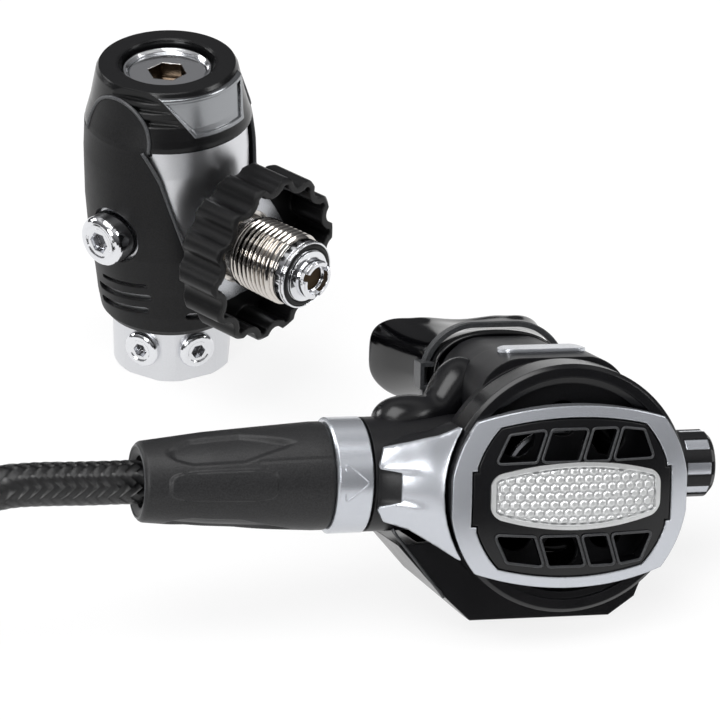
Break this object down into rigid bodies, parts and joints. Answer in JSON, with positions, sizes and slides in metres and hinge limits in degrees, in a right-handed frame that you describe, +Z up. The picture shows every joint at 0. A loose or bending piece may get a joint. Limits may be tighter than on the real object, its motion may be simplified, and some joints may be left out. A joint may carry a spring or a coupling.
{
  "type": "scuba regulator set",
  "caption": "Scuba regulator: diaphragm first stage with DIN connector, and a second stage with purge cover, adjusting knob and mouthpiece on a coiled braided hose.",
  "frame": {"origin": "centre of the first stage's flat base, on the floor", "axes": "+Z up along the first stage's axis, -Y out along the DIN connector"},
  "size_m": [0.3049, 0.3474, 0.1015],
  "materials": {
    "satin_chrome": "satin pearl chrome over brass",
    "bright_chrome": "polished chrome over brass",
    "nickel": "warm bright nickel on the thread",
    "soft_shroud": "fine matt grain",
    "cap_plastic": "satin moulded plastic",
    "glossy_plate": "polished",
    "grip_rubber": "matt grip rubber",
    "seal_rubber": "smooth seal rubber",
    "spring_steel": "drawn wire",
    "steel": "turned stainless steel",
    "brass": "turned brass",
    "bronze": "sintered bronze",
    "case_plastic": "fine grained nylon",
    "gloss_black": "semi-gloss moulded plastic",
    "silver_plastic": "satin silver coat",
    "silver_plate": "bright silver coat, hexagon relief",
    "silicone": "glossy black silicone",
    "poppet_plastic": "white nylon",
    "braid": "black braided nylon over rubber"
  },
  "bodies": {
    "first_stage": {"pressure_body": "satin_chrome", "shroud": "soft_shroud", "top_cap": "cap_plastic", "cap_plate": "glossy_plate", "spring_retainer": "bright_chrome", "pressure_adjuster": "bright_chrome", "main_spring": "spring_steel", "main_diaphragm": "seal_rubber", "inlet_spring": "spring_steel", "balance_plug": "brass", "lp_plugs": "bright_chrome", "gauge_plugs": "bright_chrome", "plug_o_rings": "seal_rubber", "din_nipple": "bright_chrome", "din_o_ring": "seal_rubber", "inlet_filter": "bronze", "filter_retainer": "steel", "inlet_nut": "bright_chrome", "hose_ferrule": "steel", "hose_run": "braid", "hose_coil": "braid", "end_ferrule": "steel", "end_fitting": "bright_chrome", "end_o_ring": "seal_rubber"},
    "inlet_valve": {"spring_pad": "brass", "thrust_pin": "steel", "inlet_poppet": "poppet_plastic"},
    "din_wheel": {"din_bolt": "nickel", "handwheel": "grip_rubber", "hub_washer": "steel"},
    "second_stage": {"case": "case_plastic", "case_ring": "gloss_black", "bezel": "silver_plastic", "forked_arm": "silver_plastic", "diaphragm_guard": "case_plastic", "purge_spring": "spring_steel", "demand_diaphragm": "silicone", "valve_tube": "satin_chrome", "orifice": "brass", "poppet_spring": "spring_steel", "bypass_tube": "gloss_black", "top_badge": "glossy_plate", "exhaust_tee": "gloss_black", "exhaust_valve": "silicone", "mouthpiece": "silicone", "mouthpiece_tie": "seal_rubber"},
    "purge": {"purge_button": "gloss_black", "purge_plate": "silver_plate"},
    "diaphragm_centre": {"diaphragm_plate": "steel"},
    "lever": {"demand_lever": "steel"},
    "poppet": {"demand_poppet": "poppet_plastic"},
    "adjuster": {"adjust_spindle": "brass", "adjust_knob": "case_plastic", "knob_insets": "silver_plastic"},
    "selector": {"selector_ring": "silver_plastic", "inlet_sleeve": "case_plastic"}
  },
  "joints": [
    {"name": "second_stage_swivel", "type": "hinge", "parent": "first_stage", "child": "second_stage", "pos_m": [-0.07421, -0.12634, 0.04301], "axis": [0.8375, -0.5335, -0.1184], "continuous": true},
    {"name": "din_wheel_spin", "type": "hinge", "parent": "first_stage", "child": "din_wheel", "pos_m": [0, -0.04, 0.05], "axis": [0, -1, 0], "continuous": true},
    {"name": "inlet_valve_lift", "type": "slide", "parent": "first_stage", "child": "inlet_valve", "axis": [0, 0, -1], "range_m": [0, 0.0006], "stiffness_N_per_m": 400, "deforming": ["main_spring", "inlet_spring", "main_diaphragm"]},
    {"name": "purge_press", "type": "slide", "parent": "second_stage", "child": "purge", "axis": [0.4663, 0.8106, -0.3542], "range_m": [0, 0.003], "stiffness_N_per_m": 300, "springref_m": -0.0005, "deforming": ["purge_spring", "demand_diaphragm"]},
    {"name": "diaphragm_stroke", "type": "slide", "parent": "second_stage", "child": "diaphragm_centre", "axis": [0.4663, 0.8106, -0.3542], "range_m": [0, 0.003]},
    {"name": "lever_tilt", "type": "hinge", "parent": "second_stage", "child": "lever", "pos_m": [-0.00341, -0.1823, 0.03582], "axis": [-0.285, -0.2414, -0.9276], "range_deg": [0, 8.77]},
    {"name": "poppet_stroke", "type": "slide", "parent": "second_stage", "child": "poppet", "axis": [0.8375, -0.5335, -0.1184], "range_m": [0, 0.0013], "deforming": ["poppet_spring"]},
    {"name": "adjuster_turn", "type": "hinge", "parent": "second_stage", "child": "adjuster", "pos_m": [0.01791, -0.18502, 0.02998], "axis": [0.8375, -0.5335, -0.1184], "range_deg": [-360, 360]},
    {"name": "selector_turn", "type": "hinge", "parent": "second_stage", "child": "selector", "pos_m": [-0.06584, -0.13167, 0.04182], "axis": [0.8375, -0.5335, -0.1184], "range_deg": [0, 60]}
  ],
  "couplings": [
    {"joint": "diaphragm_stroke", "follows": "purge_press", "ratio": 1},
    {"joint": "lever_tilt", "follows": "purge_press", "rad_per_m": 50},
    {"joint": "poppet_stroke", "follows": "purge_press", "ratio": 0.4}
  ]
}
